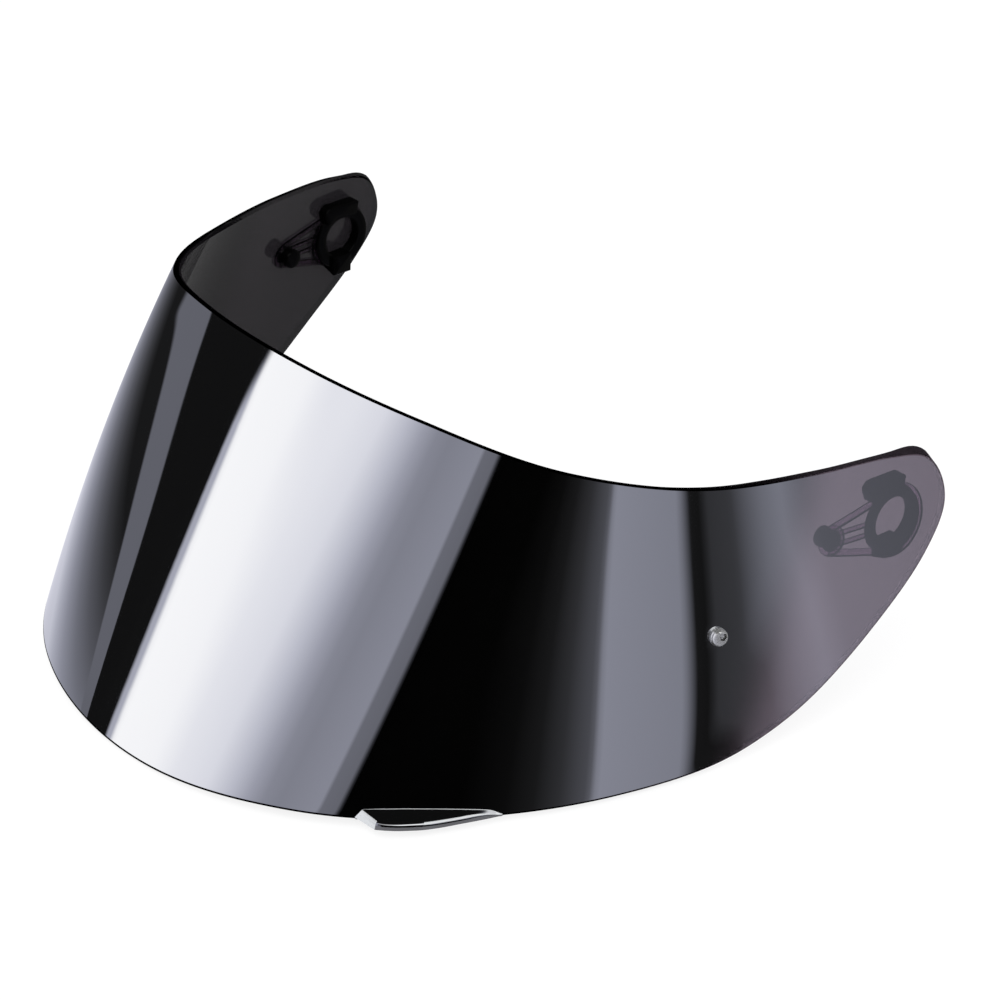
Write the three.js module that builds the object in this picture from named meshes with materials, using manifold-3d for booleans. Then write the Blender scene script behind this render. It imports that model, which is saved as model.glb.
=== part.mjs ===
import * as THREE from 'three';
import { mergeVertices } from 'three/addons/utils/BufferGeometryUtils.js';
import Module from 'manifold-3d';

const wasm = await Module();
wasm.setup();

// Everything is drawn as the visor is worn: +X to the wearer's left, the front towards -Y, +Z up,
// with the front centre of the outer face at the origin. The last lines set it down on its lower edge.

// Shield: a smoked sheet bent in plan to a rounded, tapering arch and bowed a little in height
const SHIELD_HALF_WIDTH = 121.2;
const SHIELD_DEPTH = 178;
const SHIELD_THICKNESS = 2.2;
const SIDE_BOW_RADIUS = 400;
const FRONT_BOW_RADIUS = 830;
const FRONT_LEAN_SLOPE = 0.271;
const PLAN_ROUNDNESS = 2.57;
const ARM_REACH = 222.5;
const BROW_HEIGHT = 47.6;
const CHIN_DEPTH = 65;

// Outline of one half, from the middle of the top edge, round the arm's tip, to the middle of the
// lower edge. Each row is a share of the arm's reach along the sheet, and a share of the brow
// height above the datum or of the chin depth below it.
const topOutlineShares = [
  [0, 1], [0.225, 0.998], [0.427, 0.95], [0.607, 0.983], [0.764, 1.107], [0.881, 1.2], [0.948, 1.194],
];
const tipOutlineShares = [[0.985, 1.065], [1, 0.891], [0.981, 0.606], [0.917, 0.17]];
const lowerOutlineShares = [
  [0.841, 0.177], [0.784, 0.335], [0.719, 0.462], [0.584, 0.615], [0.427, 0.754], [0.225, 0.904], [0, 1],
];
const SHIELD_COLUMNS = 64;
const SHIELD_ROWS = 12;

// Gaps: parts that are bonded or clamped face to face keep a seat gap, and cuts overrun their work
const SEAT_GAP = 0.3;
const CUT_OVERRUN = 12;

// Pivot ring of each side bracket, which turns on the helmet's hub. Its middle lies ahead of the
// arm's tip along the sheet and below the brow, and its flat face stands in from the sheet.
const PIVOT_SETBACK = 16.25;
const PIVOT_DROP = 9.5;
const PIVOT_Z = BROW_HEIGHT - PIVOT_DROP;
const RING_RISE = 2.918;
const RING_RADIUS = 9.9;
const RING_BORE_RADIUS = 6.3;
const LIP_THICKNESS = 1.1;
const RELIEF_FORWARD = 2.5;
const RELIEF_HEIGHT = 0.9;
const FLANGE_WIDTH = 1.2;
const FOOT_RISE = 1;
const RING_SEGMENTS = 36;

// Lug on the ring's upper front, its outline in shares of the ring's radius, back and up from the
// ring's middle, and the catch block across the ring's lower rear
const lugOutlineShares = [[0.12, 0.85], [0.12, 1.3], [-1.07, 1.06], [-1.2, 0.83], [-0.91, 0.44], [-0.65, 0.77]];
const LUG_RISE = 2.7;
const CATCH_LENGTH = 6.6;
const CATCH_WIDTH = 7.4;
const CATCH_RISE = 1.3;
const CATCH_OFFSET = 7.85;
const CATCH_SHIFT = 1.5;
const CATCH_ANGLE = THREE.MathUtils.degToRad(14);

// Locating peg ahead of the ring: a pad, a boss, a neck and a head
const PEG_FORWARD = 24.6;
const PEG_DROP = 4.6;
const PAD_RADIUS = 4.4;
const BOSS_RADIUS = 3;
const BOSS_RISE = 1.27;
const NECK_RADIUS = 2.1;
const NECK_LENGTH = 1.7;
const HEAD_RADIUS = 2.8;
const HEAD_LENGTH = 1.8;

// Ribs from the pad to the ring, which follow the sheet
const EDGE_RIB_WIDTH = 1.5;
const MID_RIB_WIDTH = 1.2;
const MID_RIB_SPACING = 3.4;
const RIB_RISE = 1.4;

// Pins that hold an anti-fog insert behind the shield, one on each side, ahead of the pivot
const PIN_LEAD = 56.65;
const PIN_HEIGHT = 7.4;
const PIN_FLANGE_RADIUS = 2.7;
const PIN_FLANGE_THICKNESS = 0.5;
const PIN_DOME_RADIUS = 2.4;
const PIN_DOME_HEIGHT = 1.3;
const PIN_SHOULDER_RADIUS = 1.6;
const PIN_THREAD_RADIUS = 1;
const PIN_THREAD_LENGTH = 2.2;
const SOCKET_RADIUS = 1.1;
const SOCKET_DEPTH = 1;
const SOCKET_ACROSS = 0.7;
const SOCKET_RAISE = 0.5;
const SEAL_RADIUS = 3.6;
const SEAL_THICKNESS = 0.8;
const POST_BASE_RADIUS = 3.2;
const POST_BASE_THICKNESS = 0.8;
const POST_NECK_RADIUS = 2.1;
const POST_NECK_LENGTH = 1.2;
const POST_HEAD_RADIUS = 2.9;
const POST_HEAD_THICKNESS = 0.9;
const POST_OFFSET = 0.4;
const PIN_SEGMENTS = 24;

// Lift tab on the lower edge, to the wearer's left of the chin
const TAB_START_ARC = 67.6;
const TAB_LENGTH = 34;
const TAB_ROOT_HEIGHT = 3.9;
const TAB_BITE = 0.4;
const TAB_REACH = 3.6;
const TAB_LIP_THICKNESS = 1.75;
const TAB_UNDERHANG = 1.2;
const TAB_STATIONS = 28;
const tabReachShares = [0.12, 1, 1.06, 0.96, 0.76, 0.53, 0.3, 0.06];
const tabRootShares = [0.75, 0.97, 1.03, 1, 0.98, 0.97, 0.95, 0.3];
const tabLipShares = [0.2, 1, 1, 0.98, 0.84, 0.54, 0.32, 0.1];

// The visor stands on a table on its lower edge, tipped back by this angle
const REST_TILT = THREE.MathUtils.degToRad(17.7);

// Materials
const smokedShield = new THREE.MeshStandardMaterial({ color: 0x6f6d7a, roughness: 0.05, metalness: 0.85 });
const blackPlastic = new THREE.MeshStandardMaterial({ color: 0x0c0c0e, roughness: 0.2, metalness: 0 });
const mirroredTab = new THREE.MeshStandardMaterial({ color: 0x55555c, roughness: 0.06, metalness: 0.85 });
const brightSteel = new THREE.MeshStandardMaterial({ color: 0xb8bcc2, roughness: 0.25, metalness: 1 });
const clearNylon = new THREE.MeshStandardMaterial({ color: 0x2a2a2e, roughness: 0.4, metalness: 0 });
const softSeal = new THREE.MeshStandardMaterial({ color: 0x161618, roughness: 0.8, metalness: 0 });

// Plan of the sheet at the datum height, so that a length along it can be turned into an angle
class PlanCurve extends THREE.Curve {
  getPoint(share, target = new THREE.Vector3()) {
    return target.copy(sheetPoint(share * Math.PI / 2, 0, 0));
  }
}

function planAt(height, inset) {
  const front = FRONT_LEAN_SLOPE * height + height * height / (2 * FRONT_BOW_RADIUS) + inset;
  return {
    halfWidth: SHIELD_HALF_WIDTH - height * height / (2 * SIDE_BOW_RADIUS) - inset,
    depth: SHIELD_DEPTH - front,
  };
}

function sheetPoint(angle, height, inset) {
  const { halfWidth, depth } = planAt(height, inset);
  const across = Math.pow(Math.abs(Math.sin(angle)) / halfWidth, PLAN_ROUNDNESS);
  const along = Math.pow(Math.abs(Math.cos(angle)) / depth, PLAN_ROUNDNESS);
  const radius = Math.pow(across + along, -1 / PLAN_ROUNDNESS);
  return new THREE.Vector3(
    radius * Math.sin(angle),
    SHIELD_DEPTH - radius * Math.cos(angle),
    height,
  );
}

const planCurve = new PlanCurve();
planCurve.arcLengthDivisions = 600;

// A point by its length along the sheet from the front centre. Past the widest place the arms run straight back.
function arcPoint(arc, height, inset) {
  const curved = Math.min(Math.abs(arc), planCurve.getLength());
  const share = planCurve.getUtoTmapping(0, curved);
  const point = sheetPoint(Math.sign(arc) * share * Math.PI / 2, height, inset);
  point.y += Math.abs(arc) - curved;
  return point;
}

// How far out the sheet's inner face stands at a place on the arm
function innerFaceAt(y, z) {
  const { halfWidth, depth } = planAt(z, SHIELD_THICKNESS);
  const ahead = Math.max(SHIELD_DEPTH - y, 0) / depth;
  return halfWidth * Math.pow(1 - Math.pow(ahead, PLAN_ROUNDNESS), 1 / PLAN_ROUNDNESS);
}

const PIVOT_ARC = ARM_REACH - PIVOT_SETBACK;
const PIN_ARC = PIVOT_ARC - PIN_LEAD;
const PIVOT_Y = arcPoint(PIVOT_ARC, PIVOT_Z, 0).y;
const RING_FACE = innerFaceAt(PIVOT_Y, PIVOT_Z) - RING_RISE;
const BOSS_FACE = innerFaceAt(PIVOT_Y - PEG_FORWARD, PIVOT_Z - PEG_DROP) - BOSS_RISE;

// Outline as one closed smooth curve through both halves, in arc length and height
const browRows = [...topOutlineShares, ...tipOutlineShares];
const halfOutline = [
  ...browRows.map(([reach, rise]) => new THREE.Vector3(reach * ARM_REACH, rise * BROW_HEIGHT, 0)),
  ...lowerOutlineShares.map(([reach, fall]) => new THREE.Vector3(reach * ARM_REACH, -fall * CHIN_DEPTH, 0)),
];
const otherHalf = halfOutline.slice(1, -1).reverse().map((p) => new THREE.Vector3(-p.x, p.y, 0));
const outlinePoints = [...halfOutline, ...otherHalf];
const outline = new THREE.CatmullRomCurve3(outlinePoints, true, 'centripetal');
const STEPS_BETWEEN_POINTS = 40;
outline.arcLengthDivisions = outlinePoints.length * STEPS_BETWEEN_POINTS;
const outlineLengths = outline.getLengths();

function outlineShareOf(row) {
  return outlineLengths[row * STEPS_BETWEEN_POINTS] / outline.getLength();
}

function outlineEdge(share, grow) {
  const point = outline.getPointAt(share);
  const tangent = outline.getTangentAt(share);
  return new THREE.Vector2(point.x - tangent.y * grow, point.y + tangent.x * grow);
}

const TIP_TOP_SHARE = outlineShareOf(topOutlineShares.length - 1);
const TIP_LOW_SHARE = outlineShareOf(browRows.length - 1);
const CHIN_SHARE = outlineShareOf(halfOutline.length - 1);

// A point inside the outline, blended from its four edges
function patchPoint(across, up, grow) {
  const reach = Math.abs(across);
  const top = outlineEdge(THREE.MathUtils.lerp(0, TIP_TOP_SHARE, reach), grow);
  const bottom = outlineEdge(THREE.MathUtils.lerp(CHIN_SHARE, TIP_LOW_SHARE, reach), grow);
  const side = outlineEdge(THREE.MathUtils.lerp(TIP_LOW_SHARE, TIP_TOP_SHARE, up), grow);
  const brow = outlineEdge(0, grow);
  const chin = outlineEdge(CHIN_SHARE, grow);
  const tipTop = outlineEdge(TIP_TOP_SHARE, grow);
  const tipLow = outlineEdge(TIP_LOW_SHARE, grow);
  const rails = bottom.clone().lerp(top, up);
  const ends = chin.clone().lerp(brow, up).lerp(side, reach);
  const corners = chin.clone().lerp(brow, up).lerp(tipLow.clone().lerp(tipTop, up), reach);
  const point = rails.add(ends).sub(corners);
  return new THREE.Vector2(point.x * Math.sign(across), point.y);
}

// The sheet between two insets, as a box bent to the shape, its outline grown by the given amount
function sheetBlank(outerInset, innerInset, grow) {
  const geometry = new THREE.BoxGeometry(1, 1, 1, SHIELD_COLUMNS, SHIELD_ROWS, 1);
  const position = geometry.attributes.position;
  for (let i = 0; i < position.count; i += 1) {
    const flat = patchPoint(2 * position.getX(i), position.getY(i) + 1 / 2, grow);
    const inset = THREE.MathUtils.lerp(innerInset, outerInset, position.getZ(i) + 1 / 2);
    const point = arcPoint(flat.x, flat.y, inset);
    position.setXYZ(i, point.x, point.y, point.z);
  }
  return geometry;
}

// Solids for cutting and joining
function solidOf(geometry) {
  const bare = geometry.clone();
  bare.deleteAttribute('normal');
  bare.deleteAttribute('uv');
  const merged = mergeVertices(bare);
  return new wasm.Manifold(new wasm.Mesh({
    numProp: 3,
    vertProperties: new Float32Array(merged.attributes.position.array),
    triVerts: new Uint32Array(merged.index.array),
  }));
}

function geometryOf(solid) {
  const mesh = solid.getMesh();
  const geometry = new THREE.BufferGeometry();
  geometry.setAttribute('position', new THREE.BufferAttribute(new Float32Array(mesh.vertProperties), 3));
  geometry.setIndex(new THREE.BufferAttribute(new Uint32Array(mesh.triVerts), 1));
  geometry.computeVertexNormals();
  return geometry;
}

function joined(geometries) {
  return geometries.map(solidOf).reduce((whole, piece) => whole.add(piece));
}

function mirrored(geometry) {
  const other = geometry.clone();
  other.scale(-1, 1, 1);
  const index = other.index.array;
  for (let i = 0; i < index.length; i += 3) {
    const kept = index[i + 1];
    index[i + 1] = index[i + 2];
    index[i + 2] = kept;
  }
  other.computeVertexNormals();
  return other;
}

// Frame of the pin: its axis is square to the sheet, with +Z pointing out of the visor
function pinFrame(side) {
  const arc = side * PIN_ARC;
  const point = arcPoint(arc, PIN_HEIGHT, 0);
  const span = PIN_SHOULDER_RADIUS;
  const alongArc = arcPoint(arc + span, PIN_HEIGHT, 0).sub(arcPoint(arc - span, PIN_HEIGHT, 0));
  const upSheet = arcPoint(arc, PIN_HEIGHT + span, 0).sub(arcPoint(arc, PIN_HEIGHT - span, 0));
  const outward = alongArc.clone().cross(upSheet).normalize();
  const up = upSheet.normalize();
  const across = up.clone().cross(outward);
  return new THREE.Matrix4().makeBasis(across, up, outward).setPosition(point);
}

// Shield with a clearance hole for each pin
function shieldGeometry() {
  let shield = solidOf(sheetBlank(0, SHIELD_THICKNESS, 0));
  for (const side of [1, -1]) {
    const length = SHIELD_THICKNESS + 2 * CUT_OVERRUN;
    const hole = new THREE.CylinderGeometry(
      PIN_SHOULDER_RADIUS + SEAT_GAP, PIN_SHOULDER_RADIUS + SEAT_GAP, length, PIN_SEGMENTS);
    hole.rotateX(Math.PI / 2);
    hole.applyMatrix4(pinFrame(side));
    shield = shield.subtract(solidOf(hole));
  }
  return geometryOf(shield);
}

// Slab drawn in side view, as (Y, Z) from the pivot, from an inner face out through the sheet
const sideView = new THREE.Matrix4().makeBasis(
  new THREE.Vector3(0, 1, 0), new THREE.Vector3(0, 0, 1), new THREE.Vector3(1, 0, 0));

function sideSlab(shape, innerFace, segments = RING_SEGMENTS) {
  const depth = SHIELD_HALF_WIDTH + CUT_OVERRUN - innerFace;
  const slab = new THREE.ExtrudeGeometry(shape, { depth, bevelEnabled: false, curveSegments: segments });
  slab.applyMatrix4(sideView);
  slab.translate(innerFace, PIVOT_Y, PIVOT_Z);
  return slab;
}

function disc(y, z, radius) {
  const shape = new THREE.Shape();
  shape.absarc(y, z, radius, 0, 2 * Math.PI, false);
  return shape;
}

function annulus(outerRadius, innerRadius) {
  const shape = disc(0, 0, outerRadius);
  shape.holes.push(disc(0, 0, innerRadius));
  return shape;
}

// A straight bar between two points, half its width to each side
function bar(from, to, width) {
  const along = to.clone().sub(from).normalize();
  const half = new THREE.Vector2(-along.y, along.x).multiplyScalar(width / 2);
  return new THREE.Shape([
    from.clone().sub(half), to.clone().sub(half), to.clone().add(half), from.clone().add(half),
  ]);
}

// What lies within the given height above the face that the brackets seat on
function sheetLayer(rise) {
  return solidOf(sheetBlank(-CUT_OVERRUN, SHIELD_THICKNESS + SEAT_GAP + rise, 0));
}

// Pivot bracket on the wearer's left: ring, flange, lug, catch, ribs and peg, on the sheet's inner face
function bracketGeometry(spaceInside) {
  const ringFace = RING_FACE;
  const peg = new THREE.Vector2(-PEG_FORWARD, -PEG_DROP);
  const pegDistance = peg.length();
  const toRing = peg.clone().negate().normalize();
  const footFace = Math.min(ringFace, BOSS_FACE) - CUT_OVERRUN;
  const pieces = [sideSlab(annulus(RING_RADIUS, RING_BORE_RADIUS), ringFace)];
  const feet = [
    sideSlab(annulus(RING_RADIUS + FLANGE_WIDTH, RING_BORE_RADIUS), footFace),
    sideSlab(disc(peg.x, peg.y, PAD_RADIUS), footFace),
  ];
  const ribs = [];

  const lug = lugOutlineShares.map(([back, up]) => new THREE.Vector2(back, up).multiplyScalar(RING_RADIUS));
  pieces.push(sideSlab(new THREE.Shape(lug), ringFace - LUG_RISE));

  const catchAlong = new THREE.Vector2(Math.cos(CATCH_ANGLE), Math.sin(CATCH_ANGLE));
  const catchMiddle = new THREE.Vector2(catchAlong.y, -catchAlong.x).multiplyScalar(CATCH_OFFSET)
    .addScaledVector(catchAlong, CATCH_SHIFT);
  const catchHalf = catchAlong.clone().multiplyScalar(CATCH_LENGTH / 2);
  const catchShape = bar(catchMiddle.clone().sub(catchHalf), catchMiddle.clone().add(catchHalf), CATCH_WIDTH);
  pieces.push(sideSlab(catchShape, ringFace - CATCH_RISE));

  // The two edge ribs lie along the lines that touch both the ring and the pad
  const spread = Math.asin((RING_RADIUS - PAD_RADIUS) / pegDistance);
  for (const upper of [1, -1]) {
    const direction = toRing.clone().rotateAround(new THREE.Vector2(), upper * spread);
    const normal = new THREE.Vector2(-direction.y, direction.x).multiplyScalar(upper);
    const onPad = peg.clone().addScaledVector(normal, PAD_RADIUS - EDGE_RIB_WIDTH / 2);
    const onRing = normal.clone().multiplyScalar(RING_RADIUS - EDGE_RIB_WIDTH / 2);
    ribs.push(sideSlab(bar(onPad, onRing, EDGE_RIB_WIDTH), footFace));
    const beside = new THREE.Vector2(-toRing.y, toRing.x).multiplyScalar(upper * MID_RIB_SPACING / 2);
    const midEnd = toRing.clone().multiplyScalar(-(RING_RADIUS + RING_BORE_RADIUS) / 2).add(beside);
    ribs.push(sideSlab(bar(peg.clone().add(beside), midEnd, MID_RIB_WIDTH), footFace));
  }

  const neckFace = BOSS_FACE - NECK_LENGTH;
  const headFace = neckFace - HEAD_LENGTH;
  pieces.push(sideSlab(disc(peg.x, peg.y, BOSS_RADIUS), BOSS_FACE));
  pieces.push(sideSlab(disc(peg.x, peg.y, NECK_RADIUS), neckFace));
  const head = new THREE.CylinderGeometry(HEAD_RADIUS, HEAD_RADIUS, HEAD_LENGTH, RING_SEGMENTS);
  head.rotateZ(Math.PI / 2);
  head.translate((headFace + neckFace) / 2, PIVOT_Y + peg.x, PIVOT_Z + peg.y);
  pieces.push(head);
  const onSheet = joined(feet).intersect(sheetLayer(FOOT_RISE)).add(joined(ribs).intersect(sheetLayer(RIB_RISE)));

  // Behind its lip the bore is widened towards the front
  const relief = sideSlab(disc(-RELIEF_FORWARD, RELIEF_HEIGHT, RING_BORE_RADIUS), ringFace + LIP_THICKNESS);
  return geometryOf(joined(pieces).add(onSheet).subtract(solidOf(relief)).intersect(spaceInside));
}

// Turned pieces of the pin stand on the pin's frame, +Z out of the visor
function turned(profile) {
  const points = profile.map(([radius, height]) => new THREE.Vector2(radius, height));
  const geometry = new THREE.LatheGeometry(points, PIN_SEGMENTS);
  geometry.rotateX(Math.PI / 2);
  return geometry;
}

const SEAL_FACE = -(SHIELD_THICKNESS + SEAT_GAP);
const POST_FACE = SEAL_FACE - SEAL_THICKNESS - SEAT_GAP;
const THREAD_END = POST_FACE - PIN_THREAD_LENGTH;

// Screw: a domed, flanged head with a hexagonal socket, a shoulder and a thread
function screwGeometry(side) {
  const flangeTop = SEAT_GAP + PIN_FLANGE_THICKNESS;
  const domeTop = flangeTop + PIN_DOME_HEIGHT;
  const body = solidOf(turned([
    [0, THREAD_END],
    [PIN_THREAD_RADIUS, THREAD_END],
    [PIN_THREAD_RADIUS, POST_FACE + SEAT_GAP],
    [PIN_SHOULDER_RADIUS, POST_FACE + SEAT_GAP],
    [PIN_SHOULDER_RADIUS, SEAT_GAP],
    [PIN_FLANGE_RADIUS, SEAT_GAP],
    [PIN_FLANGE_RADIUS, flangeTop],
    [PIN_DOME_RADIUS, flangeTop],
    [PIN_DOME_RADIUS, flangeTop + PIN_DOME_HEIGHT / 2],
    [(PIN_DOME_RADIUS + SOCKET_RADIUS) / 2, domeTop],
    [0, domeTop],
  ]));
  const socket = new THREE.CylinderGeometry(SOCKET_RADIUS, SOCKET_RADIUS, SOCKET_DEPTH + CUT_OVERRUN, 6);
  socket.rotateX(Math.PI / 2);
  socket.translate(side * SOCKET_ACROSS, SOCKET_RAISE, domeTop + (CUT_OVERRUN - SOCKET_DEPTH) / 2);
  return geometryOf(body.subtract(solidOf(socket)));
}

// Seal: a soft washer between the sheet and the post
function sealGeometry() {
  const bore = PIN_SHOULDER_RADIUS + SEAT_GAP;
  return turned([
    [bore, SEAL_FACE - SEAL_THICKNESS],
    [SEAL_RADIUS, SEAL_FACE - SEAL_THICKNESS],
    [SEAL_RADIUS, SEAL_FACE],
    [bore, SEAL_FACE],
    [bore, SEAL_FACE - SEAL_THICKNESS],
  ]);
}

// Post: a base on the screw's axis and a grooved head set off from it, which takes the insert's notch
function postGeometry(side) {
  const neckFace = POST_FACE - POST_BASE_THICKNESS;
  const headFace = neckFace - POST_NECK_LENGTH;
  const tipFace = headFace - POST_HEAD_THICKNESS;
  const base = turned([
    [0, neckFace], [POST_BASE_RADIUS, neckFace], [POST_BASE_RADIUS, POST_FACE], [0, POST_FACE],
  ]);
  const head = turned([
    [0, tipFace], [POST_HEAD_RADIUS, tipFace], [POST_HEAD_RADIUS, headFace], [POST_NECK_RADIUS, headFace],
    [POST_NECK_RADIUS, neckFace + POST_BASE_THICKNESS / 2], [0, neckFace + POST_BASE_THICKNESS / 2],
  ]);
  head.translate(side * POST_OFFSET, 0, 0);
  const boreDepth = PIN_THREAD_LENGTH + SEAT_GAP;
  const bore = new THREE.CylinderGeometry(
    PIN_THREAD_RADIUS + SEAT_GAP, PIN_THREAD_RADIUS + SEAT_GAP, boreDepth + CUT_OVERRUN, PIN_SEGMENTS);
  bore.rotateX(Math.PI / 2);
  bore.translate(0, 0, POST_FACE + (CUT_OVERRUN - boreDepth) / 2);
  return geometryOf(joined([base, head]).subtract(solidOf(bore)));
}

// Height of the lower edge at an arc length, from the outline
function lowerEdgeHeight(arc) {
  let low = CHIN_SHARE;
  let high = TIP_LOW_SHARE;
  for (let step = 0; step < 40; step += 1) {
    const middle = (low + high) / 2;
    if (outline.getPointAt(middle).x < arc) {
      low = middle;
    } else {
      high = middle;
    }
  }
  return outline.getPointAt(low).y;
}

function shareAt(shares, along) {
  const place = along * (shares.length - 1);
  const row = Math.min(Math.floor(place), shares.length - 2);
  return THREE.MathUtils.lerp(shares[row], shares[row + 1], place - row);
}

// Lift tab: a lip along the lower edge, its section a wedge that runs under the edge. One end is cut off
// steeply and the other runs out to nothing.
function tabGeometry(sheetWithGap) {
  const blank = new THREE.BoxGeometry(1, 1, 1, TAB_STATIONS, 1, 1);
  const position = blank.attributes.position;
  for (let i = 0; i < position.count; i += 1) {
    const along = position.getX(i) + 1 / 2;
    const arc = TAB_START_ARC + along * TAB_LENGTH;
    const edge = lowerEdgeHeight(arc);
    const reach = TAB_REACH * shareAt(tabReachShares, along);
    const root = TAB_ROOT_HEIGHT * shareAt(tabRootShares, along);
    const lipShare = shareAt(tabLipShares, along);
    const isUpper = position.getY(i) > 0;
    const isOuter = position.getZ(i) > 0;
    const lipHeight = isUpper ? edge : edge - TAB_LIP_THICKNESS * lipShare;
    const rootHeight = isUpper ? edge + root : edge - TAB_UNDERHANG;
    const rootInset = isUpper ? TAB_BITE : SHIELD_THICKNESS / 2;
    const inset = isOuter ? -reach - SEAT_GAP : rootInset;
    const point = arcPoint(arc, isOuter ? lipHeight : rootHeight, inset);
    position.setXYZ(i, point.x, point.y, point.z);
  }
  return geometryOf(solidOf(blank).subtract(sheetWithGap));
}

// Assembly
function named(name, geometry, material) {
  const mesh = new THREE.Mesh(geometry, material);
  mesh.name = name;
  return mesh;
}

const innerSeat = SHIELD_THICKNESS + SEAT_GAP;
const bracketSpace = RING_RISE + LUG_RISE + CATCH_RISE + BOSS_RISE + NECK_LENGTH + HEAD_LENGTH;
const spaceInside = solidOf(sheetBlank(innerSeat, innerSeat + bracketSpace, 0));
const sheetWithGap = solidOf(sheetBlank(-SEAT_GAP, SHIELD_THICKNESS + SEAT_GAP, SEAT_GAP));

const worn = new THREE.Group();
worn.add(named('visor_shield', shieldGeometry(), smokedShield));
worn.add(named('lift_tab', tabGeometry(sheetWithGap), mirroredTab));

const leftBracket = bracketGeometry(spaceInside);
worn.add(named('left_pivot_bracket', leftBracket, blackPlastic));
worn.add(named('right_pivot_bracket', mirrored(leftBracket), blackPlastic));

for (const [name, side] of [['left', 1], ['right', -1]]) {
  const pin = new THREE.Group();
  pin.applyMatrix4(pinFrame(side));
  pin.add(named(`${name}_pin_screw`, screwGeometry(side), brightSteel));
  pin.add(named(`${name}_pin_seal`, sealGeometry(), softSeal));
  pin.add(named(`${name}_pin_post`, postGeometry(side), clearNylon));
  worn.add(pin);
}

// Set down on the lower edge, with the middle of the footprint at the origin
worn.rotation.x = -REST_TILT;
const visor = new THREE.Group();
visor.add(worn);
visor.updateMatrixWorld(true);
const box = new THREE.Box3().setFromObject(visor, true);
worn.position.set(-(box.min.x + box.max.x) / 2, -(box.min.y + box.max.y) / 2, -box.min.z);

export default visor;
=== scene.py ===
"""Looks of a wrap-round motorcycle helmet visor: a smoked, mirrored sheet that stands on its edge."""

import math

import bmesh
import bpy
import numpy as np
from mathutils import Matrix, Vector


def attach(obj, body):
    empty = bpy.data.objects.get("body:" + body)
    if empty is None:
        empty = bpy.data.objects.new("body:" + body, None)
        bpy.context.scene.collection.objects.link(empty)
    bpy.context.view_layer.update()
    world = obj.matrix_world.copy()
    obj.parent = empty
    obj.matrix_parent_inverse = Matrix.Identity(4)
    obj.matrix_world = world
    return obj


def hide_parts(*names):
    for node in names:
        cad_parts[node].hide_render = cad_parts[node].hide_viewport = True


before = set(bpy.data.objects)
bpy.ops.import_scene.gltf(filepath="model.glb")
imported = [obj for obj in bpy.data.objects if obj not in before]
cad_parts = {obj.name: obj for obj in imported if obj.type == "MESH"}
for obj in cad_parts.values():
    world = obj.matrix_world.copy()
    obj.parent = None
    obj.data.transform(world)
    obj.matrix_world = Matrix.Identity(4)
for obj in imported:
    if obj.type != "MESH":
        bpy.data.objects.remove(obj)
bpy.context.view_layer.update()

# Sizes of the sheet, in millimetres, drawn as the visor is worn
MM = 0.001
HALF_WIDTH = 121.2
DEPTH = 178.0
THICKNESS = 2.2
SIDE_BOW = 400.0
FRONT_BOW = 830.0
FRONT_LEAN = 0.271
ROUNDNESS = 2.57
ARM_REACH = 222.5
BROW_HEIGHT = 47.6
CHIN_DEPTH = 65.0
RIM_ROUND = 0.6
SEAT_GAP = 0.3

# Outline of one half, from the brow round the tip to the chin: shares of the arm's reach along the
# sheet, and of the brow's height above its middle line or the chin's depth below it
TOP_SHARES = [
    (0, 1), (0.225, 0.998), (0.427, 0.95), (0.607, 0.983), (0.764, 1.107), (0.881, 1.2), (0.948, 1.194),
]
TIP_SHARES = [(0.985, 1.065), (1, 0.891), (0.981, 0.606), (0.917, 0.17)]
LOW_SHARES = [
    (0.841, 0.177), (0.784, 0.335), (0.719, 0.462), (0.584, 0.615), (0.427, 0.754), (0.225, 0.904), (0, 1),
]

# The worn visor is tipped back and set down with its footprint round the origin
REST_TILT = math.radians(17.7)
REST_SHIFT = (0.0, -62.8875, 58.0101)
WORN_TO_ROW = Matrix.Scale(MM, 4) @ Matrix.Translation(REST_SHIFT) @ Matrix.Rotation(-REST_TILT, 4, "X")

SIDES = (("left", 1), ("right", -1))


# Shape of the sheet
def unit(vectors):
    return vectors / np.linalg.norm(vectors, axis=-1, keepdims=True)


def lengths_along(line):
    """Length from the start of a line to each of its points."""
    steps = np.linalg.norm(np.diff(line, axis=0), axis=1)
    return np.concatenate([[0], np.cumsum(steps)])


def plan_size(height, inset):
    """Half the sheet's width and its depth, at a height."""
    half_width = HALF_WIDTH - height**2 / (2 * SIDE_BOW) - inset
    depth = DEPTH - (FRONT_LEAN * height + height**2 / (2 * FRONT_BOW) + inset)
    return half_width, depth


def plan_point(angle, height, inset):
    half_width, depth = plan_size(height, inset)
    across = np.abs(np.sin(angle) / half_width) ** ROUNDNESS
    along = np.abs(np.cos(angle) / depth) ** ROUNDNESS
    radius = (across + along) ** (-1 / ROUNDNESS)
    return np.stack([radius * np.sin(angle), DEPTH - radius * np.cos(angle), height], -1)


PLAN_ANGLES = np.linspace(0, math.pi / 2, 8001)
PLAN_LENGTHS = lengths_along(plan_point(PLAN_ANGLES, 0 * PLAN_ANGLES, 0))


def sheet_point(arc, height, inset):
    """A point of the sheet by length along it, height and depth below its outer face."""
    arc, height, inset = np.broadcast_arrays(*[np.asarray(v, float) for v in (arc, height, inset)])
    angle = np.sign(arc) * np.interp(np.abs(arc), PLAN_LENGTHS, PLAN_ANGLES)
    return plan_point(angle, height, inset)


def sheet_axes(arc, height, inset):
    """Directions along the sheet, up it and out of it."""
    step = 0.5
    along = unit(sheet_point(arc + step, height, inset) - sheet_point(arc - step, height, inset))
    up = sheet_point(arc, height + step, inset) - sheet_point(arc, height - step, inset)
    out = unit(np.cross(along, up))
    return along, np.cross(out, along), out


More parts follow.
